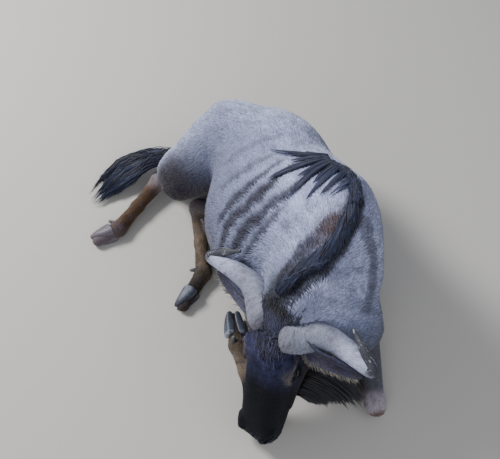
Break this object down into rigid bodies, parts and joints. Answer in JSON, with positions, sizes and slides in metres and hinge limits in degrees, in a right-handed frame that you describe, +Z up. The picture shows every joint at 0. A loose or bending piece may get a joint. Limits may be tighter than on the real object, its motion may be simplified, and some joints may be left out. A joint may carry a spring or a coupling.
{
  "type": "wildebeest lying at rest, life-size still model",
  "caption": "Life-size blue wildebeest lying on its chest with its head down, hind legs out to one side, with horns, mane, beard and tufted tail.",
  "frame": {"origin": "on the floor under the barrel, on the small flat that the belly rests on", "axes": "+Z up, the chest faces -Y, +X towards the animal's left side"},
  "size_m": [1.0354, 1.1797, 0.7223],
  "materials": {
    "coat": "short silver blue-grey hair with brown-purple stripes",
    "face_coat": "short blue-black hair, glossy on the forehead",
    "ear_coat": "short dark hair with a cream fringe",
    "leg_coat": "short tan-brown hair",
    "long_hair": "long coarse blue-black hair",
    "horn": "dull grey horn, finely pitted, smoother dark tips",
    "hoof": "worn blue-black horn",
    "eye": "wet, dark brown"
  },
  "bodies": {
    "root": {"barrel": "coat", "beard": "long_hair", "dewclaw_fore_left_inner": "hoof", "dewclaw_fore_left_outer": "hoof", "dewclaw_fore_right_inner": "hoof", "dewclaw_fore_right_outer": "hoof", "dewclaw_hind_left_inner": "hoof", "dewclaw_hind_left_outer": "hoof", "dewclaw_hind_right_inner": "hoof", "dewclaw_hind_right_outer": "hoof", "ear_left": "ear_coat", "ear_right": "ear_coat", "eye_left": "eye", "eye_right": "eye", "fore_cannon_left": "leg_coat", "fore_cannon_right": "leg_coat", "forearm_left": "leg_coat", "forearm_right": "leg_coat", "forequarters": "coat", "gaskin_left": "leg_coat", "gaskin_right": "leg_coat", "head": "face_coat", "hind_cannon_left": "leg_coat", "hind_cannon_right": "leg_coat", "hindquarters": "coat", "hoof_fore_left_inner": "hoof", "hoof_fore_left_outer": "hoof", "hoof_fore_right_inner": "hoof", "hoof_fore_right_outer": "hoof", "hoof_hind_left_inner": "hoof", "hoof_hind_left_outer": "hoof", "hoof_hind_right_inner": "hoof", "hoof_hind_right_outer": "hoof", "horn_left": "horn", "horn_right": "horn", "mane_neck": "long_hair", "mane_withers": "long_hair", "neck": "coat", "tail": "long_hair"}
  },
  "joints": []
}
